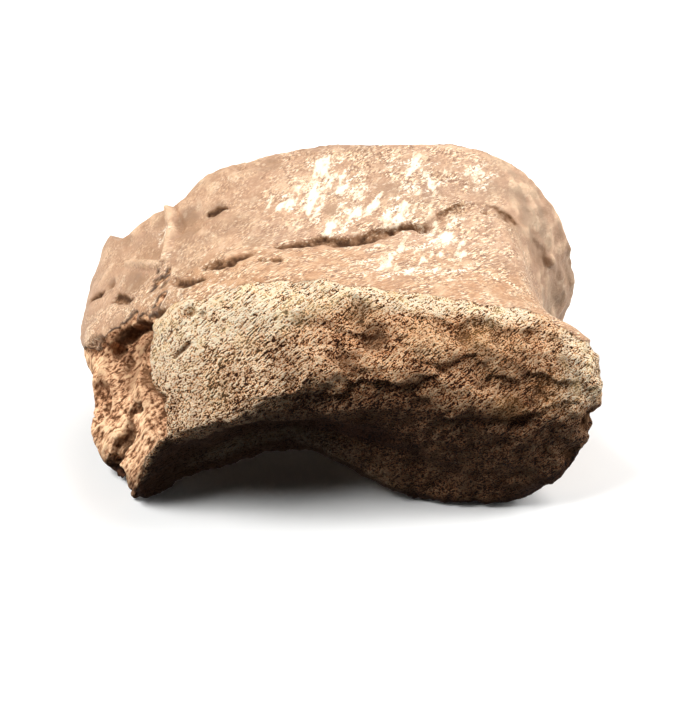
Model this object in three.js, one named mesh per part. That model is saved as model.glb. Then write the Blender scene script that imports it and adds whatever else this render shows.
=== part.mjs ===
// Fossil sauropod toe bone: one stout phalanx, in millimetres, +Z up, lying as it rests.
// +Y runs along the toe, from the rolled far-joint end (at -Y) to the dished near-joint end (at +Y).
// +X is the bone's right side when it is looked at from its rolled end. Its left side is the broken one.
// The surface is one net of rings. Each ring goes once round the bone through the same fourteen places,
// and the rings follow each other from the ridge across the rolled end to the middle of the dish.
import * as THREE from "three";

// Driving dimensions: the bone's overall box.
const WIDTH = 116;
const LENGTH = 73;
const HEIGHT = 61.5;
// How finely the net is drawn, in steps round the bone and steps along it.
const AROUND = 88;
const ALONG = 55;

// Whatever the net puts under z = 0 is worn off there, so the bone stands on four small flats.
// Each ring's fourteen places, in order: low left side, left side, left shoulder, top left, top,
// top right, right shoulder, right side, low right side, right foot, arch right, arch, arch left, left foot.
const RIDGE = [
  [-44.5, -29.5, 1], [-41.5, -32.5, 9], [-35.5, -36, 21.5], [-22, -39.8, 28.5], [-3, -38.2, 37.5],
  [15, -37, 38.5], [34, -36, 29], [49.5, -33, 22.5], [35, -35.5, 21], [17, -36.5, 31.5],
  [-3, -37.6, 34], [-22, -38.6, 26.5], [-35, -34.5, 18.5], [-41.5, -31, 6.5],
];
const FACE = [
  [-45, -28, 6], [-42.5, -28.5, 19], [-37.5, -29.8, 33], [-21.5, -31, 41.5], [1, -31.5, 45],
  [21, -31.5, 43], [41, -31, 37], [53.5, -29, 30.5], [51.5, -30.5, 14], [38, -31, 6],
  [13, -31, 15], [-6, -30, 22], [-28, -29.5, 16], [-44, -27.5, 0],
];
const EDGE = [
  [-49.5, -23, 6], [-44, -23, 24], [-36, -24, 42], [-19, -24, 49.5], [3, -24, 50.5],
  [24, -24, 47], [45, -23.5, 42], [55.5, -24, 34], [53, -25, 15], [39.5, -27, 0],
  [14, -26.5, 1], [-8, -25, 12], [-28, -25, 7], [-45, -23, -1.5],
];
const BEHIND = [
  [-55, -15, 8], [-51, -14, 24], [-38, -14, 42], [-21, -13, 50], [3, -13, 51],
  [23, -13, 48.5], [42, -13, 41.5], [48, -14, 33], [48, -14, 15], [37, -14, 2],
  [15, -14, 4], [-8, -14, 12], [-28, -14, 7], [-50, -14, -0.5],
];
const WAIST = [
  [-55.5, -3, 10], [-58.5, -2, 23], [-45, -2, 37], [-23, -1, 49.5], [2, 0, 51.5],
  [21, 0, 51], [38, 0, 48], [45, 0, 33], [44, 0, 15], [34, 0, 4],
  [14, 0, 7], [-8, 0, 12], [-27, 0, 8], [-48, -2, 4],
];
const FLARE = [
  [-57, 11, 10], [-60, 11, 23], [-50, 12, 37], [-26, 13, 52], [0, 13, 55.5],
  [22, 14, 56], [40, 14, 50.5], [48.5, 14, 33], [47, 14, 15], [36, 14, 3],
  [14, 14, 6.5], [-8, 13, 10], [-28, 13, 8], [-48, 12, 4],
];
const RIM = [
  [-57, 25, 9], [-60, 25, 22], [-53.5, 26, 39], [-31, 27, 54], [0, 28, 61.5],
  [25, 28, 61.5], [46, 27.5, 54], [57, 27, 31.5], [53, 26, 12], [38, 25, -1.5],
  [14, 25, 4], [-8, 25, 7.5], [-28, 25, 5], [-46, 25, -1.5],
];

// The dish in the near-joint end: its middle in x and z, and how far in and how deep each ring of it lies.
const DISH_MIDDLE = [-2, 27];
const LIP = { inward: 0.08, y: 31 };
const DISH_SLOPE = { inward: 0.35, y: 29.5 };
const DISH_FLOOR = { inward: 0.75, y: 28 };
const DISH_CLOSE = { inward: 0.97, y: 27.5 };

// The middle of the bone, and the hollows and knobs pressed towards it or away from it: where each one is,
// how far it reaches, and how far it moves the surface (out is +).
const MIDDLE = [0, 0, 24];
const MARKS = [
  { name: "broken hollow in the left side", at: [-49, -14, 28], reach: 14, out: -3.5 },
  { name: "second hollow, behind the first", at: [-58, -3, 19], reach: 12, out: -2 },
  { name: "knob at the left corner of the lip", at: [-54, 25, 40], reach: 9, out: 1.2 },
  { name: "flat on the left of the lip", at: [-44, 26, 47], reach: 11, out: -2.2 },
  { name: "crease between waist and flare", at: [45, 8, 40], reach: 12, out: -1.5 },
  { name: "knob on the right of the lip", at: [53, 26, 38], reach: 10, out: 1 },
  { name: "knob at the right corner of the roll", at: [53, -26, 35], reach: 9, out: 1 },
  { name: "hollow in the rolled face", at: [5, -35, 41], reach: 12, out: -1 },
];

const vector = ([x, y, z]) => new THREE.Vector3(x, y, z);

// A ring of the dish: the lip's ring drawn in towards the middle, on one plane across the toe.
const dishRing = ({ inward, y }) =>
  RIM.map(([x, , z]) => [
    THREE.MathUtils.lerp(x, DISH_MIDDLE[0], inward),
    y,
    THREE.MathUtils.lerp(z, DISH_MIDDLE[1], inward),
  ]);

const RINGS = [
  RIDGE, FACE, EDGE, BEHIND, WAIST, FLARE, RIM,
  dishRing(LIP), dishRing(DISH_SLOPE), dishRing(DISH_FLOOR), dishRing(DISH_CLOSE),
];

// The net drawn as a grid of points: ALONG + 1 rows of AROUND.
function drawnNet() {
  const curves = RINGS.map((ring) => new THREE.CatmullRomCurve3(ring.map(vector), true));
  const rows = Array.from({ length: ALONG + 1 }, () => []);
  for (let i = 0; i < AROUND; i++) {
    const column = new THREE.CatmullRomCurve3(curves.map((curve) => curve.getPoint(i / AROUND)));
    rows.forEach((row, j) => row.push(column.getPoint(j / ALONG)));
  }
  return rows;
}

// Pushes the grid in or out around each mark, straight away from the bone's middle.
function pressMarks(rows) {
  const middle = vector(MIDDLE);
  for (const { at, reach, out } of MARKS) {
    const spot = vector(at);
    const outward = spot.clone().sub(middle).normalize();
    for (const p of rows.flat()) {
      const near = 1 - Math.min(1, p.distanceTo(spot) / reach);
      p.addScaledVector(outward, out * THREE.MathUtils.smoothstep(near, 0, 1));
    }
  }
  return rows;
}

// Fills the bone's box, centred over the origin, and wears off what lies under z = 0.
function fitToBox(rows) {
  const points = rows.flat();
  const box = new THREE.Box3().setFromPoints(points);
  const size = box.getSize(new THREE.Vector3());
  const middle = box.getCenter(new THREE.Vector3());
  for (const p of points) {
    p.x = ((p.x - middle.x) * WIDTH) / size.x;
    p.y = ((p.y - middle.y) * LENGTH) / size.y;
    p.z = Math.max(0, (p.z * HEIGHT) / box.max.z);
  }
  return rows;
}

// Joins the grid into one closed surface. Each end row is zipped shut across itself.
function closedSurface(rows) {
  const index = [];
  const at = (j, i) => j * AROUND + (i % AROUND);
  for (let j = 0; j < ALONG; j++) {
    for (let i = 0; i < AROUND; i++) {
      index.push(at(j, i), at(j, i + 1), at(j + 1, i));
      index.push(at(j, i + 1), at(j + 1, i + 1), at(j + 1, i));
    }
  }
  const zip = (j, turned) => {
    let low = 0;
    let high = AROUND - 1;
    while (low < high - 1) {
      const lowTurn = (high - low) % 2 === 1;
      const face = [at(j, low), at(j, high), at(j, lowTurn ? low + 1 : high - 1)];
      index.push(...(turned ? face.reverse() : face));
      if (lowTurn) low++;
      else high--;
    }
  };
  zip(0, false);
  zip(ALONG, true);
  const positions = rows.flat().flatMap((p) => p.toArray());
  const surface = new THREE.BufferGeometry();
  surface.setAttribute("position", new THREE.Float32BufferAttribute(positions, 3));
  surface.setIndex(index);
  surface.computeVertexNormals();
  return surface;
}

const fossil = new THREE.MeshStandardMaterial({ color: 0xb58a66, roughness: 0.7, metalness: 0 });
const toeBone = new THREE.Mesh(closedSurface(fitToBox(pressMarks(drawnNet()))), fossil);
toeBone.name = "toe_bone";

const group = new THREE.Group();
group.add(toeBone);
export default group;
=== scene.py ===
"""A fossil sauropod toe bone on a pale floor, seen from its rolled end and from above.

The surface is made from the CAD solid. A dense copy of it is smoothed. Broken chunks, ledges, cracks, pits
and grain are then pushed into it, zone by zone, and it is thinned to the triangles that this relief needs.
What each place is like is kept on the mesh as attributes, and one material reads them. Lengths in the tables
are in millimetres, in the bone's own frame: x to the right, y away from the rolled face, z up.
"""
import itertools
import math
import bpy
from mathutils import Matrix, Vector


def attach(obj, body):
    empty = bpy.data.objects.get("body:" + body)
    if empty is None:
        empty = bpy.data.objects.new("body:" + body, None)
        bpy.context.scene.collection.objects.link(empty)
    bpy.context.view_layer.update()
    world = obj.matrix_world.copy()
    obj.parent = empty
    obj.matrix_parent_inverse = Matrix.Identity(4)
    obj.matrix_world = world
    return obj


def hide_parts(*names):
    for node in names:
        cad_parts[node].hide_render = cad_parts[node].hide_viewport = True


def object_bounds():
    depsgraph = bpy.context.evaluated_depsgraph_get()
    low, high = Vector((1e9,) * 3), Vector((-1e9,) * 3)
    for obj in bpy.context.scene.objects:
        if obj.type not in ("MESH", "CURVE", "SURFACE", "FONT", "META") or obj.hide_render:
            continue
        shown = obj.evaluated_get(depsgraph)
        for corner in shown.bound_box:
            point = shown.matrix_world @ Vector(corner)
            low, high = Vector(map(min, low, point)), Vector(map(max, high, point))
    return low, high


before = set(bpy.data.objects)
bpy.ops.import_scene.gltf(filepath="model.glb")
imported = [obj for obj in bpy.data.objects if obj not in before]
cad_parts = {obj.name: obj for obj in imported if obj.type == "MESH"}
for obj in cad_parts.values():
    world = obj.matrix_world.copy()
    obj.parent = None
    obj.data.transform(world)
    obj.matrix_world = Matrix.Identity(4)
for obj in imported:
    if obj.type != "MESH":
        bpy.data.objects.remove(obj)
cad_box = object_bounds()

from types import SimpleNamespace

import bmesh
import bpy
import numpy as np
from mathutils import Vector

MM = 0.001
low, high = cad_box
scene = bpy.context.scene


# ---------------------------------------------------------------- the places on the bone

# The edge of the rolled face, as x and y. In front of it the spongy bone is bare, behind it is outer bone.
ROLL_EDGE = [
    (-36, -15.8), (-26, -19.4), (-17, -18.6), (5, -19.8), (15, -20.2), (25, -19.2), (31, -19.7),
    (40, -18), (48, -20.5), (52, -21.5), (55, -18), (57, -8),
]

# How wide the pale band of painted light along that edge is, as x and width.
LIT_BAND = [
    (-12, 13), (4, 6), (42, 6), (52, 18),
]

# Painted shade: the height below which the rolled face's colour turns dark towards the underside, as x and
# z.
PAINTED_SHADE_BELOW = [
    (-45, 6), (-30, 20), (-20, 26), (-10, 30.5), (5, 34.5), (25, 31), (58, 25),
]

# The broken left side: how far right it reaches, as height and x, the slope of its upper edge, and its back.
BREAK_RIGHT = [
    (0, -40), (9.5, -38.7), (15.5, -36.9), (21.5, -33), (26.5, -33), (30, -35), (32, -36.3), (39, -36.8),
    (43, -34),
]
BREAK_TOP = {"x": -35, "z": 42, "slope": 0.95}
BREAK_BACK_Y = 12

# The upper edge of the lip as it is seen from the camera: x, and its height at LIP_Y. It falls as y grows.
LIP = [
    (-56, 32.5), (-54, 35.5), (-52.4, 38.3), (-51.6, 38.9), (-50.5, 38.2), (-49, 37.8), (-48.3, 38.2),
    (-46.3, 39.6), (-43.8, 42), (-40.5, 44.4), (-36, 46.2), (-33, 48.6), (-30.5, 52), (-28, 54.4),
    (-25, 55.8), (-18.5, 57), (-14, 58.7), (-10.5, 60.7), (-7, 61.4), (0, 61.5), (5, 61.1), (27.5, 61.3),
    (32, 60.7), (36.5, 59.1), (41.5, 56.6), (46.5, 52.6), (51.5, 46), (54.5, 39.5), (57, 34),
]
LIP_Y = 30
LIP_FALL = 0.38

# Cracks, grooves and ridges. Each has a path of x, y, z and half width, then the depth, how full of crumbs
# it is (0 to 1) and how ragged its edges are (0 to 1). A negative depth stands out from the surface.
GROOVES = {
    "main crack": (
        [(-12, -2.4, 50.2, 0.6), (-9, -1.3, 50.4, 1.2), (-5, -0.3, 50.6, 2), (-1, 1.4, 50.6, 2.4),
         (2, 0.2, 50.5, 2.5), (5, 0.2, 50.5, 2.4), (8.3, 2.2, 50.6, 2.1), (12, 4.3, 51.1, 1.5),
         (15.5, 6.2, 51.3, 1.1), (18.5, 6.7, 51.2, 0.9), (20.8, 6.9, 51.1, 1.3)],
        1.9, 0.35, 0.7),
    "left run of the crack": (
        [(-26.5, -4.5, 46.6, 1.2), (-24.8, -5.8, 47.4, 2.4), (-22.6, -6.8, 48.2, 2.6),
         (-20.6, -7.4, 48.8, 2), (-19, -5.6, 49.2, 1.6), (-15.6, -3.9, 49.7, 0.9)],
        1.5, 0.5, 0.8),
    "far left run of the crack": (
        [(-33.5, -2.4, 42.7, 0.8), (-31.4, -7.4, 44.3, 1.2), (-29.9, -9.8, 45.3, 1.7),
         (-27.8, -11.6, 46.3, 1.2), (-26.6, -10.8, 46.8, 1.3), (-25.3, -10.9, 47.3, 0.8)],
        1.3, 0.4, 0.8),
    "short run beside the crack": (
        [(-14.9, -8, 50.1, 0.5), (-12.9, -9.1, 50.2, 0.8), (-11.7, -8.5, 50.4, 0.4),
         (-10.4, -9.6, 50.4, 1.3), (-9.1, -8.7, 50.5, 0.4)],
        0.9, 0.3, 0.6),
    "crack in the left flank": (
        [(-55.4, 17.8, 27.8, 0.5), (-53, 15.5, 30.5, 0.9), (-50.8, 13, 32.2, 0.8)],
        1.5, 0, 0.3),
    "edge of the left panel": (
        [(-48, 9, 33.6, 1.2), (-46.4, 6.3, 34.4, 1.4), (-44.5, 3, 35.4, 0.9), (-42.8, 0.7, 36.1, 1)],
        1.2, 0, 0.4),
    "valley of the left flange": (
        [(-47.5, 27, 40.6, 1), (-46.3, 23.1, 40.4, 1.2), (-46.2, 17.4, 37.9, 1.2)],
        0.5, 0, 0.2),
    "groove under the lip": (
        [(-21.4, 29.1, 55.6, 0.8), (-16, 29.2, 57, 1.6), (-10.9, 29.2, 58.1, 1.3),
         (-3.5, 29.6, 59.4, 0.5)],
        0.6, 0.3, 0.5),
    "dent in the flare": (
        [(-27.8, 17.3, 49.6, 0.7), (-25, 17.2, 50.6, 1.4), (-22, 17, 51.7, 0.7)],
        1.1, 0, 0.6),
    "ridge down the left flange": (
        [(-36.9, 26.5, 47.3, 0.9), (-36.4, 22.3, 46.8, 1), (-35.3, 18.4, 46, 0.9),
         (-35.7, 11.8, 43.7, 1), (-35.9, 6.9, 42.2, 0.8)],
        -1.5, 0, 0.2),
    "ridge across the left flange": (
        [(-46, 16, 37.5, 0.9), (-44.5, 15.1, 38.5, 1.1), (-40, 10.5, 40.3, 1), (-36.6, 6.9, 41.7, 0.9)],
        -1.3, 0, 0.2),
    "foot of the ridge": (
        [(-35, 26, 48, 0.5), (-34.6, 22.3, 47.6, 0.8), (-33.6, 18.6, 46.8, 0.8), (-34, 14, 45.3, 0.5)],
        0.6, 0, 0.2),
    "crease under the flare": (
        [(45.5, 18.7, 42.5, 1.2), (46.8, 19, 40.4, 1.8), (48.6, 19.7, 37, 2.2), (48.7, 18.4, 34.4, 1.8),
         (48.3, 16.4, 32.3, 1)],
        0.55, 0, 0.2),
    "line under the thin ledge": (
        [(23, 10.5, 52, 0.2), (26, 13.2, 52.8, 0.3), (28, 14.5, 53, 0.3), (30.5, 15.5, 53, 0),
         (33.7, 16.4, 52.6, 0), (36.6, 16.6, 51.6, 0.2), (40, 16.8, 49.6, 0.4), (42.5, 16.5, 46.8, 0.1)],
        0.9, 0, 0.3),
    "slot in the rolled face": (
        [(-31.5, -27, 36.8, 0.2), (-29.1, -26, 38.3, 0.4), (-27.3, -25, 39.5, 0.3)],
        1.4, 0, 0.1),
    "upper hollow of the break": (
        [(-46, -5.2, 28.8, 1.8), (-45.4, -4.8, 30.3, 1.5), (-43.7, -5.8, 32.2, 1.5),
         (-42, -7.5, 34, 1.3), (-39.7, -10.6, 36.6, 1), (-38.1, -13.6, 38, 0.4)],
        1.5, 0, 0.6),
    "pocket of the break": (
        [(-46.3, -5, 28.5, 1.6), (-46.6, -5.6, 26.9, 2.1), (-46, -6.8, 26.1, 1.4)],
        2, 0, 0.6),
    "second pocket of the break": (
        [(-44.5, -8, 27, 1), (-43.7, -9.3, 26.5, 1.6), (-42.6, -12, 25.8, 1.7)],
        2.4, 0.1, 0.6),
    "recess at the corner of the slab": (
        [(-37, -11.8, 40.1, 0.6), (-35, -14.5, 41.4, 1.6), (-33.2, -17, 42.8, 0.4)],
        1.5, 0.1, 0.6),
    "left hollow of the break": (
        [(-50.5, -0.7, 27.5, 1.2), (-51.8, -1.5, 25, 2.3), (-52.2, -2.5, 22.6, 2.2),
         (-51.3, -5.7, 20.5, 1)],
        0.6, 0.2, 0.8),
    "gap beside the slab": (
        [(-38.8, -11.5, 37.3, 0.6), (-38.9, -12.9, 35.7, 1.1), (-38.8, -14.4, 34, 1.1),
         (-38.9, -15.8, 32.2, 1.1), (-39.1, -18, 30.3, 1), (-38.9, -21.2, 29.4, 1.5),
         (-37.7, -24.6, 29.5, 0.8), (-36.5, -26.7, 29.1, 1.4), (-35.1, -28, 28.9, 0.6),
         (-34.2, -29, 28.2, 1.1), (-33, -30, 26.8, 0.4)],
        1.8, 0, 0.2),
    "furrow low on the left": (
        [(-38.8, -25.4, 24.5, 0.5), (-41.3, -20.9, 21.6, 1.6), (-42.3, -20.8, 19.1, 1.5),
         (-41.5, -22.6, 17.3, 1.5), (-42.8, -22, 14.6, 1.3), (-45.3, -20.6, 11, 2),
         (-46.4, -19.8, 8.5, 2), (-47.5, -18.6, 6.5, 1.3)],
        1.8, 0, 0.8),
}

# Ledges. Each has a path of x, y, z and drop, then how far the drop takes to run out and how ragged the edge
# is (0 to 1). Seen from outside, with the path running left to right, the ground drops below it.
LEDGES = {
    "thin ledge of the outer bone": (
        [(20.5, 7, 51, 0.8), (24.4, 11.9, 52.5, 1.4), (28, 14.5, 53, 1.3), (30.5, 15.5, 53, 0.7),
         (33.7, 16.4, 52.6, 0.5), (36.6, 16.6, 51.6, 0.8), (40, 16.8, 49.6, 1.1),
         (42.5, 16.5, 46.8, 0.3)],
        4.5, 0.05),
    "first ledge of the rolled face": (
        [(13, -24.5, 46.5, 0.3), (19, -25.5, 45, 0.7), (25, -24.7, 44.2, 1), (29.7, -24.1, 43.6, 1.2),
         (34, -24.2, 42.6, 1.1), (41, -22.8, 41.6, 0.8), (48, -22.5, 39.5, 0.4)],
        5, 1),
    "second ledge of the rolled face": (
        [(20, -31.8, 38.5, 0.3), (24, -31, 38.8, 0.6), (29, -29.8, 38, 0.8), (35.8, -30, 35, 0.9),
         (43.4, -28.6, 32.6, 0.8), (50, -26.5, 31, 0.4)],
        6, 1),
    "lower edge of the rolled face": (
        [(-15.5, -36, 31.1, 0.5), (-8, -35, 31.5, 0.9), (-1.7, -33.8, 31.9, 1), (8.5, -33.3, 33.7, 1.2),
         (20.3, -33.3, 35.5, 0.8)],
        5, 1),
    "ledge over the middle hollow": (
        [(-4, -26.2, 46, 0.3), (2, -27.2, 45, 0.7), (7, -28, 44, 1), (11, -28, 43.4, 0.8),
         (15, -27.5, 43.4, 0.4)],
        4, 1),
    "edge of the broken side": (
        [(-54.6, 3, 22.9, 0.3), (-52.3, 0, 26.3, 0.8), (-50.1, -0.3, 28.9, 0.9), (-48.9, -2.4, 28.3, 1),
         (-47.6, -3.9, 28, 1.6), (-46.1, -4.4, 29.3, 2.2), (-45.2, -4.4, 30.8, 2.6),
         (-43.3, -5.6, 32.9, 2.6), (-41.1, -7.7, 35.4, 2.4), (-38.5, -12.2, 38.1, 2),
         (-36.9, -16.5, 38.9, 0.8)],
        8, 0.6),
    "low ledge on the right": (
        [(26, -32.8, 27, 0.4), (33, -32.3, 25, 0.9), (40, -31, 25.5, 0.9), (48, -28.5, 27, 0.4)],
        4, 1),
    "step beside the slab": (
        [(-35.3, -15.5, 41.5, 0.8), (-36.4, -17.2, 39, 1.9), (-36.6, -21.5, 35, 2.3),
         (-36, -25.8, 31.5, 2.3), (-34.6, -28, 29.6, 1.9), (-32.5, -30.7, 26.2, 1.1),
         (-31.5, -32, 24, 0.3)],
        6, 0.15),
}

# Pits and bumps: where, how far they reach, and how deep they go. A negative depth stands out.
SPOTS = {
    "shelf lump": ((-41, -12.5, 32.5), 3.8, -1.4),
    "small lump of the break": ((-48.3, -4, 29.5), 2.2, -1.1),
    "left bulge": ((-54, 2, 28), 4, -0.8),
    "third hole of the step": ((-33.2, -29.3, 29), 1.1, 1),
    "dark pit low on the left": ((-48.1, -13.2, 18), 2.2, 1.7),
    "lump beside the furrow": ((-44.9, -19.8, 14.8), 2, -1.2),
    "dent in the left outline": ((-51.5, -9, 16.5), 6, 3.2),
    "bite out of the left outline": ((-47.2, -19.5, 3.5), 5.5, 3.8),
    "flat of the right end": ((57.5, -20.5, 33), 6, 1),
    "flat of the right flange": ((57.3, 27, 31), 6, 0.8),
    "second bite out of the left outline": ((-45.5, -21.5, 1.5), 4, 1.6),
    "chip in the right outline": ((55.3, -25.6, 21), 4.5, 1.7),
    "second chip in the right outline": ((50.9, -28, 14), 3.5, 1.1),
    "third chip in the right outline": ((57, -22.5, 29), 3, 0.8),
    "left end of the far run": ((-29.3, -5.1, 45.3), 1.3, 0.9),
    "lone pit by the crack": ((-17.1, -9.9, 49.6), 0.9, 0.7),
    "hollow in the rolled face": ((6.5, -25.2, 46.4), 4, 1),
    "middle hollow of the rolled face": ((9.5, -28.8, 42.6), 4.2, 1.3),
    "lower hollow of the rolled face": ((2.9, -32.1, 39.2), 3.8, 1),
    "lowest hollow of the rolled face": ((6.1, -33.5, 36.1), 3, 0.9),
    "left hollow of the rolled face": ((-7.4, -35.1, 35.1), 2.2, 0.9),
    "light lump of the rolled face": ((13.7, -33.3, 36.2), 2.8, -0.9),
    "upper light lump of the rolled face": ((17.5, -29.4, 42), 2.6, -0.8),
    "hollow under the first ledge": ((27.1, -27.1, 42), 3, 1.1),
    "second hollow under the first ledge": ((33.9, -26.1, 41), 2.4, 1),
    "third hollow under the first ledge": ((41, -24, 40.5), 2.2, 0.9),
    "hollow under the second ledge": ((23.3, -31.7, 37.5), 2.4, 0.9),
    "hollow low on the right": ((42.2, -30.4, 28.8), 3, 1.1),
    "knob low on the right": ((24.8, -32.4, 26.9), 1.7, -0.9),
    "pit by the top of the step": ((-34.3, -15.9, 42.1), 2.2, 1.2),
    "pit by the edge of the slab": ((-28.2, -20.9, 44.8), 1.9, 1.2),
    "small pit by the edge of the slab": ((-25.2, -22.6, 44.7), 1, 0.9),
    "end hole of the crack": ((20.8, 6.9, 51.1), 1.6, 1.6),
    "pit under the thin ledge": ((34.4, 13.9, 51.7), 1.4, 1),
    "second pit under the thin ledge": ((40, 15, 49.4), 1.6, 1.1),
    "lump between these pits": ((36.8, 14.2, 50.9), 1, -0.6),
    "pit under the peak": ((-49.2, 14, 34), 1.8, 1.2),
    "pit in the left panel": ((-46.2, 17.2, 37.8), 1.3, 0.8),
    "left panel": ((-41.5, 18, 42), 6.5, 1),
    "low left panel": ((-42, 7, 38.2), 5, 1),
    "right panel of the left flange": ((-31.5, 17.5, 47.3), 5.5, 1),
    "knob by the crease": ((50.3, 21.8, 36.2), 1.8, -0.8),
    "white spot of the left flange": ((-37.2, 17.7, 44.8), 1.6, -0.5),
}

# Stains: x, y, z, how far they reach, and how strong they are (0 to 1).
STAINS = {
    # Worn places, which also serve as painted highlights.
    "wear_and_highlights": [
        (-0.7, 25, 57.5, 5, 0.65), (-2.7, 19, 54.9, 4.5, 0.7), (-5, 13.5, 53, 4, 0.7),
        (4, 19.5, 55.6, 4.5, 0.7), (1.5, 7, 51.3, 4.5, 0.65), (6.5, 12.7, 53.2, 5, 0.75),
        (-10.5, 15.1, 53.2, 4, 0.45), (13, 13, 53.3, 7, 0.5), (19, 22, 56, 7, 0.5),
        (24, 5, 50.5, 8, 0.5), (12, -8, 50.4, 9, 0.4), (24, -5, 49.5, 8, 0.4),
        (-37.2, 17.7, 44.8, 2.6, 1), (33, 25, 54.5, 5, 0.4), (-34.5, -9, 43.5, 4, 0.45),
        (-30, -14, 45.2, 4, 0.45), (-38, -3, 40, 3.5, 0.4), (-22, -16, 48, 4, 0.35),
    ],
    # Smudges, which also serve as painted shade in the crease, dents and pits.
    "smudge_and_shade": [
        (-25, 17, 50.6, 3, 0.9), (-20, 10, 50.5, 5, 0.45), (-16, 1.5, 49.8, 3, 0.6),
        (0.5, 12.4, 52.8, 2.4, 0.9), (1.5, 17, 54.5, 1.6, 0.6), (13, 17.8, 55.4, 4, 0.6),
        (20, 14, 53, 4, 0.5), (-14, 29, 57.5, 4, 0.6), (-32, 20, 47.5, 3.2, 1),
        (-32, 14.5, 46.4, 3.2, 0.9), (-38.6, 12.5, 42.8, 2.8, 0.9), (-38.8, 22.5, 45.6, 2.2, 0.8),
        (-42.5, 12.5, 39.8, 3, 0.4), (-46.8, 24, 40.5, 2, 0.7), (-43.5, 9, 37.3, 4, 0.9),
        (-49.2, 14, 34, 2, 0.9), (-46.2, 17.2, 37.8, 1.6, 0.7), (34, 22, 52, 5, 0.55),
        (42, 24, 48.5, 4, 0.6), (46.8, 19, 40.4, 3, 0.8), (48.6, 19.7, 37, 3, 0.9),
        (48.7, 18.4, 34.4, 2.5, 0.9), (53.5, 25, 31, 7, 0.7), (8, 32, 60, 4, 0.5),
    ],
    "ochre": [
        (36.5, -32.3, 27.3, 4, 1), (29, -27, 41.5, 4, 0.6), (13, -19.5, 49, 2.5, 0.8),
        (-37, 1, 41.5, 4, 0.5), (45, -28, 30, 5, 0.4), (-43.6, -21.3, 14.4, 3, 0.6),
        (-31, -17, 44.5, 4, 0.6),
    ],
    # Soil, which also serves as painted shade in hollows and on dark parts of the bare bone.
    "soil_and_shade": [
        (-49.5, -4, 27.5, 5, 0.8), (-44.5, -10, 28, 5, 0.9), (-43, -14.5, 26, 4.5, 0.9),
        (-50.5, -8, 20, 4, 0.8), (-40, -13, 33, 4, 0.6), (-47, -12.5, 21, 3.5, 0.5),
        (9.5, -28.8, 42.6, 4.5, 0.5), (2.9, -32.1, 39.2, 4, 0.6), (28, -30, 37, 6, 0.6),
        (38, -29.5, 33, 7, 0.6), (-8, -31, 38, 5, 0.4), (18, -33, 34, 6, 0.6), (46, -27, 32, 6, 0.5),
    ],
    "olive": [
        (6.5, -25.2, 46.4, 3.5, 0.4), (20, -28, 42, 6, 0.35), (34, -28, 39, 8, 0.3),
        (-22, -32, 32, 4, 0.35), (-40, -12.5, 36, 3, 0.5),
    ],
}


# ---------------------------------------------------------------- noise over arrays of points

# The way that fibres run in the rolled face and in the broken side.
FACE_GRAIN = (0.77, 0.42, 0.48)
SIDE_GRAIN = (0.35, -0.5, 0.8)

# The noise patterns: how large their lumps are, a number of their own, how many octaves they have, which is
# one where none is given, and for those that are drawn out, along what and how far.
PATTERNS = {
    "frayed edges": (4, 11, 3),
    "low swells": (13, 5, 2),
    "uneven lip": (5.5, 21, 2),
    "uneven flare": (5.5, 23),
    "uneven lip edge": (4, 24),
    "chunks of the broken side": (8, 31, 2, SIDE_GRAIN, 1.8),
    "swells of the rolled face": (9, 41, 3),
    "folds of the rolled face": (4.5, 42),
    "swells of the slab": (7, 44, 2, FACE_GRAIN, 2.5),
    "shake along x": (3, 51, 2),
    "shake along y": (3, 52, 2),
    "shake along z": (3, 53, 2),
    "broad shake along x": (7, 54),
    "broad shake along y": (7, 55),
    "broad shake along z": (7, 56),
    "crumbs in the cracks": (2.6, 57, 2),
    "fibres of the slab": (1.4, 61, 2, FACE_GRAIN, 3.5),
    "fibres of the broken side": (1.6, 63, 2, SIDE_GRAIN, 4),
    "creases of the broken side": (4.5, 65),
    "grains": (1.4, 71, 2),
    "creases of the rolled face": (2.4, 73, 2),
    "uneven outer bone": (3.6, 81, 2),
}

LATTICE = 32
random = np.random.default_rng(5)
GRADIENTS = random.normal(size=(LATTICE, LATTICE, LATTICE, 3))
GRADIENTS /= np.linalg.norm(GRADIENTS, axis=-1, keepdims=True)


def smooth(value, start, end):
    """0 before start, 1 after end, and a smooth turn between."""
    share = np.clip((value - start) / (end - start), 0, 1)
    return share * share * (3 - 2 * share)


def read_off(table, x):
    """The second column of a table at x, between the rows around it."""
    return np.interp(x, *np.array(table).T)


def on_lattice(table, cell):
    return table[tuple((cell % LATTICE).T)]


def ripple(points):
    """Gradient noise from about -1 to 1, with one lattice step for each unit of length."""
    cell = np.floor(points).astype(int)
    inside = points - cell
    fade = inside ** 3 * (inside * (inside * 6 - 15) + 10)
    total = np.zeros(len(points))
    for corner in itertools.product((0, 1), repeat=3):
        offset = np.array(corner)
        share = np.prod(np.where(offset, fade, 1 - fade), axis=1)
        total += share * np.sum(on_lattice(GRADIENTS, cell + offset) * (inside - offset), axis=1)
    return 1.7 * total


def lumps(points, size, shift, octaves=1, along=None, stretch=1.0):
    """Noise from about -1 to 1. Each octave has lumps half as large as the one before, and half as high."""
    if along is not None:
        direction = np.array(along) / np.linalg.norm(along)
        points = points - (1 - 1 / stretch) * (points @ direction)[:, None] * direction
    total = np.zeros(len(points))
    for octave in range(octaves):
        total += 0.5 ** octave * ripple(points * 2 ** octave / size + shift * 1.37 + 7.3 * octave)
    return total


def pattern(name, points):
    return lumps(points, *PATTERNS[name])


def shaking(name, points):
    """A small move for each point, with a pattern of its own along each axis."""
    return np.stack([pattern(name + " along " + axis, points) for axis in "xyz"], axis=1)


# ---------------------------------------------------------------- paths and spots on the surface

# How far apart a path's points are, how far off the surface a place still counts as on it, and how many
# millimetres each millimetre beyond that counts for.
PATH_STEP = 0.4
SURFACE_GAP = 2.5
OFF_SURFACE = 4


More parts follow.
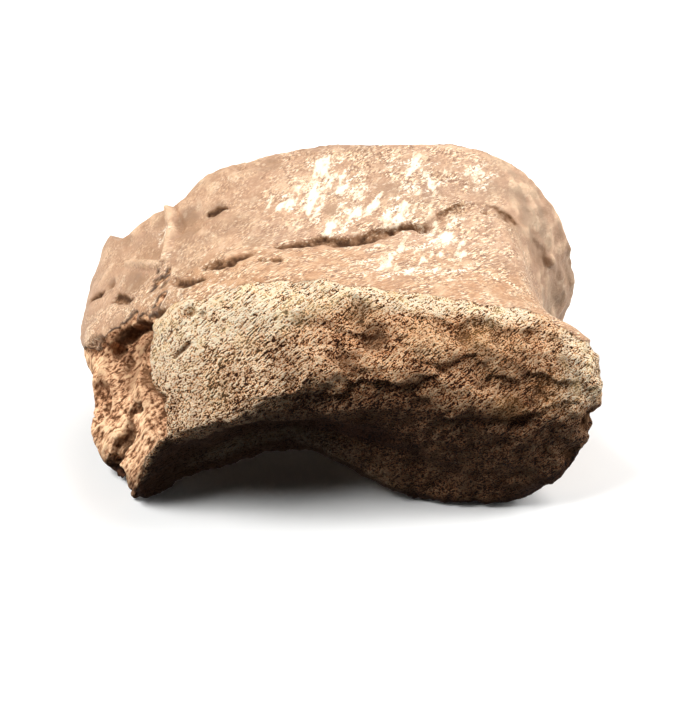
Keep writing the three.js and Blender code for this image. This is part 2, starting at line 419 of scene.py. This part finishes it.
def along_surface(points, normals, place):
    """How far each point is from a place along the surface. A place well off the surface is far from all."""
    away = points - place
    outward = np.sum(away * normals, axis=1)
    across = np.maximum(np.sum(away * away, axis=1) - outward ** 2, 0)
    beyond = np.maximum(np.abs(outward) - SURFACE_GAP, 0)
    return np.sqrt(across + (OFF_SURFACE * beyond) ** 2)


def on_surface(points, normals, place):
    """The place, moved along the nearest point's normal until it is level with that point."""
    nearest = np.argmin(np.sum((points - place) ** 2, axis=1))
    return place + ((points[nearest] - place) @ normals[nearest]) * normals[nearest]


def near_path(points, normals, path, reach):
    """Which points are within reach of a path, and where each of them is.

    That is its distance from the path, the same with a sign (positive below a path that runs left to right),
    the share of the path behind it, and the path's fourth number there.
    """
    knots = np.array(path, float)
    lengths = np.linalg.norm(np.diff(knots[:, :3], axis=0), axis=1)
    behind = np.concatenate([[0], np.cumsum(lengths)])
    marks = np.linspace(0, behind[-1], max(2, round(behind[-1] / PATH_STEP)))
    line = np.stack([np.interp(marks, behind, column) for column in knots.T], axis=1)
    heading = np.gradient(line[:, :3], axis=0)
    inside = (points > line[:, :3].min(0) - reach) & (points < line[:, :3].max(0) + reach)
    near = np.flatnonzero(inside.all(axis=1))
    best = np.full(len(near), np.inf)
    at = np.zeros(len(near), int)
    for i, spot in enumerate(line[:, :3]):
        distance = along_surface(points[near], normals[near], on_surface(points[near], normals[near], spot))
        nearer = distance < best
        best[nearer] = distance[nearer]
        at[nearer] = i
    across = np.cross(heading[at], normals[near])
    side = np.sign(np.sum(across * (points[near] - line[at, :3]), axis=1))
    return near, best, best * side, at / (len(line) - 1), line[at, 3]


# ---------------------------------------------------------------- the mesh, before and after the relief

# CAD points this close are joined. Then come the dense copy's voxel, how many times it is smoothed, and how
# many triangles are left in the end.
WELD = 0.01
VOXEL = 0.85
SMOOTHING = 8
TRIANGLES = 192000


def as_piece(draft, name):
    """A new object with the draft's mesh as its modifiers leave it. The draft is removed."""
    shape = draft.evaluated_get(bpy.context.evaluated_depsgraph_get())
    mesh = bpy.data.meshes.new_from_object(shape)
    bpy.data.objects.remove(draft)
    mesh.name = name
    piece = bpy.data.objects.new(name, mesh)
    scene.collection.objects.link(piece)
    return piece


def dense_copy(node):
    """A finer, smooth copy of a CAD node, as a new object."""
    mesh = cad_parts[node].data.copy()
    welded = bmesh.new()
    welded.from_mesh(mesh)
    bmesh.ops.remove_doubles(welded, verts=welded.verts, dist=WELD * MM)
    welded.to_mesh(mesh)
    welded.free()
    draft = bpy.data.objects.new("draft", mesh)
    scene.collection.objects.link(draft)
    remesh = draft.modifiers.new("remesh", "REMESH")
    remesh.mode = "VOXEL"
    remesh.voxel_size = VOXEL * MM
    relax = draft.modifiers.new("relax", "SMOOTH")
    relax.factor = 0.5
    relax.iterations = SMOOTHING
    refine = draft.modifiers.new("refine", "SUBSURF")
    refine.levels = 1
    refine.render_levels = 1
    return as_piece(draft, "bone_surface")


def thinned(draft, triangles):
    """The same surface with fewer triangles, most of them where it is rough."""
    draft.data.calc_loop_triangles()
    thin = draft.modifiers.new("thin", "DECIMATE")
    thin.ratio = triangles / len(draft.data.loop_triangles)
    return as_piece(draft, "bone_surface")


def read(name, collection):
    """A vector from each item of a mesh's collection, as an array with three columns."""
    values = np.empty(len(collection) * 3)
    collection.foreach_get(name, values)
    return values.reshape(-1, 3)


def attribute(mesh, name, values):
    """Writes one number for each point, held between 0 and 1, for the material to read."""
    layer = mesh.attributes.new(name, "FLOAT", "POINT")
    layer.data.foreach_set("value", np.clip(values, 0, 1).astype(np.float32))


# ---------------------------------------------------------------- the bone's relief

# The back end of the bone.
BACK_Y = high.y / MM


def find_zones(points, normals):
    """How far each point is in the rolled face, its slab of spongy bone, the broken left side, the dish, any
    bare bone at all and the underside: 0 to 1 each.

    Also how far it is in front of the rolled face's edge, and the noise that frays the zones' edges.
    """
    x, y, z = points.T
    ragged = pattern("frayed edges", points)
    front = read_off(ROLL_EDGE, x) + 0.8 * ragged - y
    roll = smooth(front, -0.4, 0.6)
    right = smooth(read_off(BREAK_RIGHT, z) + 0.4 * ragged - x, -0.4, 0.4)
    top = BREAK_TOP["z"] + BREAK_TOP["slope"] * (x - BREAK_TOP["x"]) + 1.2 * ragged - z
    broken = right * smooth(top, -0.6, 0.8) * smooth(BREAK_BACK_Y - y, -3, 3)
    dish = smooth(y + ragged, BACK_Y - 3.5, BACK_Y - 2)
    under = smooth(-normals[:, 2], 0.1, 0.45)
    slab = roll * smooth(-x, 4, 16) * (1 - under)
    bare = np.maximum(np.maximum(roll, broken), dish)
    return SimpleNamespace(roll=roll, slab=slab, broken=broken, dish=dish, bare=bare, under=under,
                           front=front, ragged=ragged)


def swells(points, zone):
    """The broad shape: low swells everywhere, chunks out of the bare places, and an uneven lip and flare."""
    x, y = points.T[:2]
    lip = smooth(y, BACK_Y - 12, BACK_Y - 4) * (1 - zone.dish)
    out = 0.35 * pattern("low swells", points) * (1 - 0.6 * lip)
    out += lip * (0.45 * pattern("uneven lip", points) - 0.2)
    out += zone.broken * (-0.6 + 0.9 * pattern("chunks of the broken side", points))
    folds = np.abs(pattern("folds of the rolled face", points))
    out += (zone.roll - zone.slab) * (0.8 * pattern("swells of the rolled face", points) - 0.6 * folds)
    out += zone.slab * (0.3 * pattern("swells of the slab", points))
    out += 0.8 * smooth(x, 38, 46) * smooth(y, 18, 24) * pattern("uneven flare", points)
    return out


def cut_to_lip(points):
    """Lowers what stands above the lip's upper edge. The right end of that edge is a little uneven."""
    x, y, z = points.T
    too_high = z + LIP_FALL * (y - LIP_Y) - read_off(LIP, x)
    too_high += 0.6 * pattern("uneven lip edge", points) * smooth(x, 25, 40)
    points[:, 2] -= np.maximum(too_high, 0) * smooth(y, 18, 26)


def damage(points, normals, shake):
    """The ledges, cracks, pits and bumps: how far each point moves out, and how much soil and painted shade
    darken it in a hollow or below a ledge.

    They follow points that are shaken a little, so their edges are ragged.
    """
    broad_shake = shaking("broad shake", points)
    crumbs = pattern("crumbs in the cracks", points)
    out = np.zeros(len(points))
    hollow = np.zeros(len(points))

    # Below a ledge the drop is full at its edge, and runs out with the distance from it. Near the edge the
    # ground is darkened as a painted shadow.
    for path, reach, raggedness in LEDGES.values():
        well_shaken = points + (0.1 + 0.7 * raggedness) * shake + 1.8 * raggedness * broad_shake
        near, distance, side, _, drop = near_path(well_shaken, normals, path, reach + 1)
        inside = smooth(side, -0.2, 0.6) * smooth(reach - distance, 0, 0.8 * reach)
        out[near] -= drop * inside
        darkness = 0.28 * np.minimum(drop, 2.4) * inside * smooth(distance, 4, 0.8)
        hollow[near] = np.maximum(hollow[near], darkness)

    # Grooves taper off at their ends. Their walls and floors are darkened with soil and painted shade, the
    # floors most left of the path, which is above it where the path runs left to right.
    for path, depth, fill, raggedness in GROOVES.values():
        near, distance, side, share, half = near_path(points + raggedness * shake, normals, path, 5)
        ends = smooth(share, 0, 0.05) * smooth(1 - share, 0, 0.05)
        inside = ends * smooth(half * (1 + 0.25 * crumbs[near]) - distance, -0.5, 0.7)
        filled = 1 - fill * smooth(crumbs[near], -0.1, 0.45)
        out[near] -= depth * inside * filled
        if depth > 0:
            wall = 4 * inside * (1 - inside)
            shade = 0.6 + 0.4 * smooth(side, 0.4 * half, -0.5 * half)
            darkness = smooth(depth, 0.5, 1) * (shade * inside * filled + 0.3 * wall)
            hollow[near] = np.maximum(hollow[near], darkness)

    # A pit is deepest in the middle. Only the small ones are darkened, with soil and painted shade.
    for spot, reach, depth in SPOTS.values():
        near = np.flatnonzero(np.abs(points - np.array(spot)).max(axis=1) < 1.3 * reach + 2)
        well_shaken = points[near] + 0.22 * min(reach, 5) * (shake + broad_shake)[near]
        middle = on_surface(points[near], normals[near], np.array(spot))
        distance = along_surface(well_shaken, normals[near], middle) * (1 + 0.25 * crumbs[near])
        inside = smooth(reach - distance, 0, 0.7 * reach)
        out[near] -= depth * inside
        if 0 < depth and reach < 5:
            hollow[near] = np.maximum(hollow[near], inside * min(1, depth / 2.2))
    return out, hollow


def grain(points, zone, right_flange):
    """The fine relief: crumbs, open pores and fibres in the bare bone, and a faint unevenness elsewhere."""
    grains = pattern("grains", points)
    fibres = pattern("fibres of the slab", points)
    side_fibres = pattern("fibres of the broken side", points)
    creases = np.abs(pattern("creases of the rolled face", points))
    side_creases = np.abs(pattern("creases of the broken side", points))
    relief = (zone.roll - zone.slab) * (0.14 * grains + 0.2 * (0.3 - creases))
    relief += zone.slab * (0.04 * grains + 0.06 * fibres)
    relief += zone.broken * (0.04 * grains + 0.2 * side_fibres - 0.35 * side_creases)
    relief += zone.dish * 0.25 * grains
    relief += (1 - zone.bare) * ((0.16 + 0.2 * right_flange) * pattern("uneven outer bone", points))
    return relief


def painted_underside_shade(shaped, zone):
    """How much painted shade each point has: the underside, but not its raised ends, and the rolled face's
    lower part.
    """
    x, y, z = shaped.T
    shaded = 0.72 * zone.roll * smooth(read_off(PAINTED_SHADE_BELOW, x) + 1.5 * zone.ragged - z, -2, 5)
    return np.maximum(zone.under * (1 - smooth(np.abs(y), 30, 34) * (z > 8)), shaded)


def painted_light_band(shaped, zone):
    """How far each point is in the band of painted light along the rolled face's upper edge and over its
    right end.
    """
    x, _, z = shaped.T
    band = read_off(LIT_BAND, x)
    right_end = smooth(x, 44, 50) * smooth(z, 22, 30)
    upper = smooth(band + 1.5 * zone.ragged - zone.front, 0, 0.6 * band) * (1 - smooth(x, 40, 46))
    return np.maximum(upper, right_end) * zone.roll


def roughen(mesh):
    """Moves the points in three steps, all along the first normals, and writes what each place is like."""
    points = read("co", mesh.vertices) / MM
    normals = read("vector", mesh.vertex_normals)
    zone = find_zones(points, normals)
    shaped = points + normals * swells(points, zone)[:, None]
    cut_to_lip(shaped)
    shake = shaking("shake", shaped)
    cut, hollow = damage(shaped, normals, shake)
    points = shaped + normals * cut[:, None]
    x, y = shaped.T[:2]
    right_flange = smooth(x, 34, 44) * smooth(y, 12, 20)
    relief = grain(points, zone, right_flange)
    points = points + normals * relief[:, None]
    points[:, 2] = np.maximum(points[:, 2], 0)
    mesh.vertices.foreach_set("co", (points * MM).ravel())
    mesh.update()

    attribute(mesh, "bare", zone.bare)
    attribute(mesh, "broken", zone.broken)
    attribute(mesh, "hollow", hollow)
    attribute(mesh, "relief", 0.5 + 0.7 * relief + 0.1 * cut)
    # Painted shade on the underside and on the rolled face's lower part.
    attribute(mesh, "under", painted_underside_shade(shaped, zone))
    # Painted light: the pale band along the rolled face's upper edge and over its right end.
    attribute(mesh, "edge", painted_light_band(shaped, zone))
    for name, stains in STAINS.items():
        strength = np.zeros(len(points))
        for *spot, reach, amount in stains:
            distance = np.linalg.norm(points + 0.25 * reach * shake - np.array(spot), axis=1)
            strength = np.maximum(strength, amount * smooth(reach - distance, -0.3 * reach, 0.6 * reach))
        attribute(mesh, name, strength)


# ---------------------------------------------------------------- node graphs

class Graph:
    """Adds nodes to a tree. An input is a number, a colour or another node's output."""

    def __init__(self, tree):
        self.tree = tree
        tree.nodes.clear()

    def add(self, kind, inputs=None, **settings):
        node = self.tree.nodes.new(kind)
        for name, value in settings.items():
            setattr(node, name, value)
        for key, value in (inputs or {}).items():
            self.feed(node.inputs[key], value)
        return node

    def feed(self, socket, value):
        if isinstance(value, bpy.types.NodeSocket):
            self.tree.links.new(value, socket)
        else:
            socket.default_value = value

    def place(self):
        return self.add("ShaderNodeTexCoord").outputs["Object"]

    def parts(self, vector):
        """The x, y and z of a vector."""
        return self.add("ShaderNodeSeparateXYZ", {0: vector}).outputs

    def attribute(self, name):
        return self.add("ShaderNodeAttribute", attribute_name=name).outputs["Fac"]

    def noise(self, vector, scale, detail=3.0, roughness=0.55):
        """Noise around one half, in lumps of about 1 / scale metres."""
        inputs = {"Vector": vector, "Scale": scale, "Detail": detail, "Roughness": roughness}
        return self.add("ShaderNodeTexNoise", inputs).outputs["Fac"]

    def drawn_out(self, vector, turn, stretch):
        """Coordinates in which a pattern is stretched along the x axis, turned by angles in degrees."""
        inputs = {"Vector": vector, "Rotation": [math.radians(a) for a in turn], "Scale": (stretch, 1, 1)}
        return self.add("ShaderNodeMapping", inputs, vector_type="TEXTURE").outputs["Vector"]

    def math(self, operation, a, b=0.0):
        return self.add("ShaderNodeMath", {0: a, 1: b}, operation=operation).outputs[0]

    def plus(self, first, *others):
        for other in others:
            first = self.math("ADD", first, other)
        return first

    def times(self, a, b):
        return self.math("MULTIPLY", a, b)

    def from_half(self, value):
        """How far a value is from one half."""
        return self.math("ABSOLUTE", self.math("SUBTRACT", value, 0.5))

    def fade(self, value, start, end, to_low=0.0, to_high=1.0):
        """One number at start, another at end, and evenly between them."""
        inputs = {"Value": value, "From Min": start, "From Max": end, "To Min": to_low, "To Max": to_high}
        return self.add("ShaderNodeMapRange", inputs).outputs["Result"]

    def between(self, share, a, b):
        """The number that lies this share of the way from a to b."""
        return self.add("ShaderNodeMix", {0: share, 2: a, 3: b}).outputs[0]

    def mix(self, share, a, b, blend="MIX"):
        """The colour that lies this share of the way from a to b."""
        node = self.add("ShaderNodeMix", data_type="RGBA", blend_type=blend)
        for socket, value in zip((node.inputs[0], node.inputs[6], node.inputs[7]), (share, a, b)):
            self.feed(socket, value)
        return node.outputs[2]

    def ramp(self, value, stops):
        node = self.add("ShaderNodeValToRGB", {"Fac": value})
        stops_there = node.color_ramp.elements
        while len(stops_there) < len(stops):
            stops_there.new(0.5)
        for there, (position, colour) in zip(stops_there, stops):
            there.position = position
            there.color = colour
        return node.outputs["Color"]

    def bump(self, height, distance):
        return self.add("ShaderNodeBump", {"Height": height, "Distance": distance}).outputs["Normal"]

    def principled(self, **inputs):
        """Ends the tree in a Principled shader. An input's spaces are written as underscores."""
        named = {name.replace("_", " "): value for name, value in inputs.items()}
        shader = self.add("ShaderNodeBsdfPrincipled", named)
        self.add("ShaderNodeOutputMaterial", {"Surface": shader.outputs[0]})


def new_material(name):
    material = bpy.data.materials.new(name)
    material.use_nodes = True
    return material, Graph(material.node_tree)


# ---------------------------------------------------------------- the bone's material

def rgb(red, green, blue):
    return (red, green, blue, 1.0)


CREAM = rgb(1.0, 0.69, 0.4)
WHITE = rgb(1.0, 0.88, 0.7)
DIRT_AND_SHADE = rgb(0.042, 0.017, 0.008)
BROWN = rgb(0.2, 0.1, 0.05)
GREY_BROWN = rgb(0.33, 0.19, 0.105)
STAIN_COLOURS = {"ochre": rgb(0.62, 0.33, 0.1), "olive": rgb(0.47, 0.34, 0.15)}

# Ramps from dark to light: of the outer bone, of the spongy bone, and of the broken side.
OUTER_TONES = [(0.3, rgb(0.35, 0.2, 0.12)), (0.45, rgb(0.46, 0.265, 0.155)),
               (0.6, rgb(0.51, 0.295, 0.175)), (0.75, rgb(0.56, 0.36, 0.23))]
SPONGY_TONES = [(0.39, DIRT_AND_SHADE), (0.42, rgb(0.24, 0.095, 0.04)), (0.45, rgb(0.7, 0.34, 0.16)),
                (0.48, rgb(1.0, 0.57, 0.29)), (0.52, CREAM), (0.58, rgb(1.0, 0.86, 0.64))]
SIDE_TONES = [(0.34, rgb(0.12, 0.05, 0.022)), (0.41, rgb(0.42, 0.2, 0.1)),
              (0.5, rgb(0.8, 0.47, 0.27)), (0.61, rgb(1.0, 0.69, 0.42)), (0.69, CREAM)]

# Turns about x, y and z, in degrees, that lay the x axis along a pattern: the outer bone's streaks, near the
# rolled face and far from it, its pale flakes and its upright shadows, and the fibres of the bare bone.
NEAR_STREAKS = (0, 0, 38)
FAR_STREAKS = (0, 0, 64)
FLAKES = (0, 0, 70)
UPRIGHT = (0, 90, 0)
FACE_FIBRES = (0, -28.7, 28.6)
SIDE_FIBRES = (0, -52, -55)

BUMP_DEPTH = 0.8 * MM


def outer_bone(g, where):
    """The smooth outer bone: its colour, and the height of its fine streaks."""
    x, y = g.parts(where)[:2]
    near_streaks = g.noise(g.drawn_out(where, NEAR_STREAKS, 7), 4000, 2, 0.6)
    far_streaks = g.noise(g.drawn_out(where, FAR_STREAKS, 2), 1700, 4, 0.7)
    streaks = g.between(g.fade(y, -0.001, 0.006), near_streaks, far_streaks)
    specks = g.noise(g.drawn_out(where, NEAR_STREAKS, 3), 2500, 3, 0.6)
    relief = g.attribute("relief")

    # Broad tones, redder near the rolled face.
    colour = g.ramp(g.noise(where, 75, 4), OUTER_TONES)
    reddened = g.mix(g.fade(y, 0.002, -0.006), colour, rgb(0.46, 0.215, 0.085))
    colour = g.mix(0.75, colour, reddened)

    # Painted shade in the dips and painted light on the crests. Then streaks and specks, fainter at the back
    # on the left and faintest on the right flange.
    right_flange = g.times(g.fade(x, 0.03, 0.042), g.fade(y, 0.008, 0.016))
    vivid = g.math("MAXIMUM", g.fade(x, -0.03, 0.005, 0.3, 1), g.fade(y, 0.014, 0.004, 0.3, 0.9))
    vivid = g.times(vivid, g.fade(g.noise(where, 260, 4), 0.42, 0.58, 0.2, 1))
    vivid = g.times(vivid, g.fade(right_flange, 0, 1, 1, 0.15))
    colour = g.mix(g.fade(relief, 0.5, 0.38, 0, 0.55), colour, rgb(0.34, 0.19, 0.1))
    colour = g.mix(g.fade(relief, 0.5, 0.6, 0, 0.55), colour, rgb(0.86, 0.6, 0.38))
    for marks, start, end, tone in ((streaks, 0.52, 0.6, rgb(0.88, 0.6, 0.36)),
                                    (streaks, 0.48, 0.4, rgb(0.22, 0.1, 0.045)),
                                    (specks, 0.56, 0.62, rgb(1.0, 0.84, 0.62)),
                                    (specks, 0.45, 0.39, rgb(0.2, 0.095, 0.05))):
        colour = g.mix(g.times(g.fade(marks, start, end), vivid), colour, tone)

    # Upright shadows on the right flange, and grey-brown smudges, some of them painted shade in the crease,
    # dents and pits.
    shadows = g.fade(g.noise(g.drawn_out(where, UPRIGHT, 2.5), 240, 3), 0.45, 0.6)
    colour = g.mix(g.times(g.times(right_flange, shadows), 0.65), colour, rgb(0.34, 0.22, 0.13))
    clouds = g.fade(g.noise(where, 170, 5, 0.6), 0.45, 0.7, -0.15, 0.3)
    smudge_and_shade = g.plus(g.attribute("smudge_and_shade"), clouds)
    colour = g.mix(g.fade(smudge_and_shade, 0.0, 1.0, 0, 0.85), colour, GREY_BROWN)

    # Cream and white places: worn patches, partly painted highlights, and white dots along the streaks as
    # painted glints.
    flakes = g.noise(g.drawn_out(where, FLAKES, 2.5), 380, 5, 0.65)
    wear_and_highlights = g.plus(g.attribute("wear_and_highlights"), g.fade(flakes, 0.4, 0.62, -0.6, 0.4))
    colour = g.mix(g.fade(wear_and_highlights, 0.35, 0.6, 0, 0.7), colour, rgb(0.95, 0.78, 0.56))
    colour = g.mix(g.fade(wear_and_highlights, 0.55, 0.9, 0, 0.95), colour, WHITE)
    lines = g.fade(g.noise(g.drawn_out(where, NEAR_STREAKS, 8), 700, 2), 0.54, 0.6)
    dots = g.times(lines, g.fade(g.noise(where, 1900, 2), 0.48, 0.58))
    dots = g.times(dots, g.fade(g.attribute("wear_and_highlights"), 0.05, 0.3))
    return g.mix(dots, colour, WHITE), streaks


def spongy_bone(g, where):
    """The bare spongy bone of the rolled face: its colour, and the height of its grains."""
    x = g.parts(where)[0]
    edge = g.attribute("edge")
    grains = g.noise(g.drawn_out(where, FACE_FIBRES, 3.5), 3000, 2, 0.55)
    fine = g.noise(where, 3700, 1, 0.5)
    furrows = g.noise(g.drawn_out(where, FACE_FIBRES, 10), 1500, 3, 0.6)
    height = g.math("SUBTRACT", g.plus(grains, g.times(fine, 0.7)), 0.35)
    height = g.plus(height, g.fade(g.attribute("relief"), 0.25, 0.75, -0.09, 0.09),
                    g.fade(furrows, 0.35, 0.65, -0.07, 0.07))

    # The height gives the tone: the bone's own dark pores and pale grains, with painted shade in the pits
    # and painted light on the crests. The band of painted light along the edge and some bands are paler, and
    # some patches and lines darker.
    patches = g.noise(where, 130, 4, 0.6)
    bands = g.noise(g.drawn_out(where, FACE_FIBRES, 5), 270, 3, 0.6)
    lines = g.noise(g.drawn_out(where, FACE_FIBRES, 16), 1300, 1, 0.5)
    shade = g.plus(height, g.fade(edge, 0, 1, 0, 0.05), g.fade(patches, 0.35, 0.65, 0.02, -0.03),
                   g.fade(bands, 0.35, 0.65, -0.03, 0.03), g.fade(lines, 0.42, 0.34, 0, -0.05))
    colour = g.ramp(shade, SPONGY_TONES)

    # A brown mottle; painted shade, darker and redder, on the rolled face away from its band of painted
    # light, most to the right of the slab; and yellow touches on that band.
    mottle = g.fade(g.noise(where, 400, 4, 0.6), 0.52, 0.4, 0, 0.45)
    mottle = g.times(mottle, g.fade(edge, 0, 1, 1, 0.3))
    colour = g.mix(mottle, colour, rgb(0.45, 0.3, 0.22), "MULTIPLY")
    painted_shade_off_band = g.times(g.fade(edge, 0, 1, 1, 0), g.fade(x, -0.012, 0.004, 0.3, 1))
    colour = g.mix(painted_shade_off_band, colour, rgb(0.84, 0.67, 0.56), "MULTIPLY")
    yellow = g.times(edge, g.fade(g.noise(where, 330, 3), 0.5, 0.62))
    colour = g.mix(g.times(yellow, 0.3), colour, rgb(1.0, 0.72, 0.34))
    for name, stain in STAIN_COLOURS.items():
        colour = g.mix(g.times(g.attribute(name), 0.28), colour, stain)
    return colour, height


def broken_side(g, where):
    """The bone inside the broken left side: its colour, and the height of its fibres."""
    fibres = g.noise(g.drawn_out(where, SIDE_FIBRES, 6), 1500, 3, 0.6)
    # The tone follows the fibres, broad noise and the relief, with painted shade in the dips and painted
    # light on the crests.
    shade = g.plus(fibres, g.fade(g.noise(where, 170, 4, 0.6), 0.3, 0.7, -0.1, 0.1),
                   g.fade(g.attribute("relief"), 0.25, 0.75, -0.1, 0.1))
    return g.ramp(shade, SIDE_TONES), g.fade(fibres, 0, 1, 0.25, 0.75)


def fossil_material():
    material, g = new_material("fossil_bone")
    where = g.place()
    z = g.parts(where)[2]
    broken = g.attribute("broken")
    outer_colour, streaks = outer_bone(g, where)
    spongy_colour, spongy_height = spongy_bone(g, where)
    side_colour, side_height = broken_side(g, where)

    # The bare bone, darkened by soil and by painted shade in its hollows and dark parts, and by painted
    # shade on its underside and the rolled face's lower part.
    bare_colour = g.mix(broken, spongy_colour, side_colour)
    soil_and_shade = g.times(g.attribute("soil_and_shade"), 0.9)
    bare_colour = g.mix(soil_and_shade, bare_colour, rgb(0.36, 0.29, 0.25), "MULTIPLY")
    # Painted shade on the underside and on the rolled face's lower part.
    bare_colour = g.mix(g.attribute("under"), bare_colour, rgb(0.085, 0.058, 0.05), "MULTIPLY")

    # The seam between outer and bare bone is brown, the crevice around the broken side is darkened with dirt
    # and painted shade, and that side's upper part is darker.
    border = g.plus(g.attribute("bare"), g.fade(g.noise(where, 600, 3), 0.3, 0.7, -0.25, 0.25))
    is_bare = g.fade(border, 0.35, 0.65)
    colour = g.mix(is_bare, outer_colour, bare_colour)
    colour = g.mix(g.fade(g.from_half(border), 0.3, 0.05, 0, 0.55), colour, BROWN)
    crevice_dirt_and_shade = g.fade(g.from_half(broken), 0.32, 0.1, 0, 0.8)
    crevice_dirt_and_shade = g.times(crevice_dirt_and_shade, g.fade(g.noise(where, 500, 2), 0.38, 0.52, 0.3, 1))
    colour = g.mix(crevice_dirt_and_shade, colour, DIRT_AND_SHADE)
    upper_break = g.times(broken, g.fade(z, 0.022, 0.029, 0, 0.8))
    colour = g.mix(upper_break, colour, rgb(0.66, 0.6, 0.56), "MULTIPLY")

    # Hollows and the ground below ledges are browned, and the darkest ones darker still: soil and dirt, with
    # painted shade.
    hollow = g.plus(g.attribute("hollow"), g.fade(g.noise(where, 900, 3), 0.3, 0.7, -0.15, 0.15))
    colour = g.mix(g.fade(hollow, 0.25, 0.75, 0, 0.85), colour, BROWN)
    colour = g.mix(g.fade(hollow, 0.65, 1.0, 0, 0.85), colour, DIRT_AND_SHADE)

    shine = g.times(g.between(is_bare, 0.5, 0.08), g.fade(hollow, 0.2, 0.6, 1, 0.1))
    gloss = g.fade(g.attribute("wear_and_highlights"), 0.2, 0.7, 0.55, 0.36)
    outer_height = g.fade(streaks, 0, 1, 0.3, 0.7)
    height = g.between(is_bare, outer_height, g.between(broken, spongy_height, side_height))
    g.principled(Base_Color=colour, Roughness=g.between(is_bare, gloss, 0.78),
                 Normal=g.bump(height, BUMP_DEPTH), Specular_IOR_Level=shine)
    return material


draft = dense_copy("toe_bone")
roughen(draft.data)
bone = thinned(draft, TRIANGLES)
bone.data.materials.clear()
bone.data.materials.append(fossil_material())
for polygon in bone.data.polygons:
    polygon.use_smooth = True
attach(bone, "root")
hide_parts("toe_bone")


# ---------------------------------------------------------------- the floor, the light and the camera

FLOOR_SIZE = 4.0
FLOOR_DROP = 0.05 * MM


def floor_material():
    material, g = new_material("pale_floor")
    colour = g.ramp(g.noise(g.place(), 6, 2), [(0.3, rgb(0.88, 0.88, 0.87)), (0.7, rgb(0.92, 0.92, 0.91))])
    g.principled(Base_Color=colour, Roughness=0.8)
    return material


floor_mesh = bpy.data.meshes.new("floor")
half = FLOOR_SIZE / 2
corners = [(-half, -half, 0), (half, -half, 0), (half, half, 0), (-half, half, 0)]
floor_mesh.from_pydata(corners, [], [(0, 1, 2, 3)])
floor_mesh.materials.append(floor_material())
floor = bpy.data.objects.new("floor", floor_mesh)
floor.location.z = low.z - FLOOR_DROP
floor.visible_diffuse = False
scene.collection.objects.link(floor)

# Soft lights that look at the bone's middle: azimuth (0 in front of the bone, 90 on its right), elevation
# and power.
LIGHT_DISTANCE = 1.0
LIGHT_SIZE = 0.45
LIGHTS = [
    ("key", 300, 55, 11), ("right_top", 90, 55, 3), ("right_back", 135, 55, 2), ("right_side", 100, 30, 6.5),
    ("left_low", 275, 8, 5), ("right_low", 85, 8, 3), ("front_low", 340, 6, 0.25), ("back", 175, 38, 3),
]
SKY = 0.01


def soft_light(name, azimuth, elevation, power):
    lamp = bpy.data.lights.new(name, "AREA")
    lamp.shape = "SQUARE"
    lamp.size = LIGHT_SIZE
    lamp.energy = power
    light = bpy.data.objects.new(name, lamp)
    around = math.radians(azimuth)
    above = math.radians(elevation)
    level = math.cos(above)
    away = Vector((math.sin(around) * level, -math.cos(around) * level, math.sin(above)))
    middle = (low + high) / 2
    light.location = middle + away * LIGHT_DISTANCE
    light.rotation_euler = away.to_track_quat("Z", "Y").to_euler()
    scene.collection.objects.link(light)


for name, azimuth, elevation, power in LIGHTS:
    soft_light(name, azimuth, elevation, power)

world = bpy.data.worlds.new("studio")
world.use_nodes = True
scene.world = world
sky = Graph(world.node_tree)
background = sky.add("ShaderNodeBackground", {"Color": rgb(1, 1, 1), "Strength": SKY})
sky.add("ShaderNodeOutputWorld", {"Surface": background.outputs[0]})

# The camera looks at a point near the rolled face, from in front of it and above.
SENSOR = 36.0
LENS = 76.0
AIM = Vector((low.x + 62.5 * MM, low.y + 8.9 * MM, low.z + 37.8 * MM))
CAMERA_DISTANCE = 0.3
CAMERA_ELEVATION = math.radians(28)
lens = bpy.data.cameras.new("camera")
lens.sensor_width = SENSOR
lens.lens = LENS
lens.clip_start = 0.01
camera = bpy.data.objects.new("camera", lens)
back = Vector((0, -math.cos(CAMERA_ELEVATION), math.sin(CAMERA_ELEVATION)))
camera.location = AIM + back * CAMERA_DISTANCE
camera.rotation_euler = back.to_track_quat("Z", "Y").to_euler()
scene.collection.objects.link(camera)
scene.camera = camera
scene.view_settings.view_transform = "Standard"
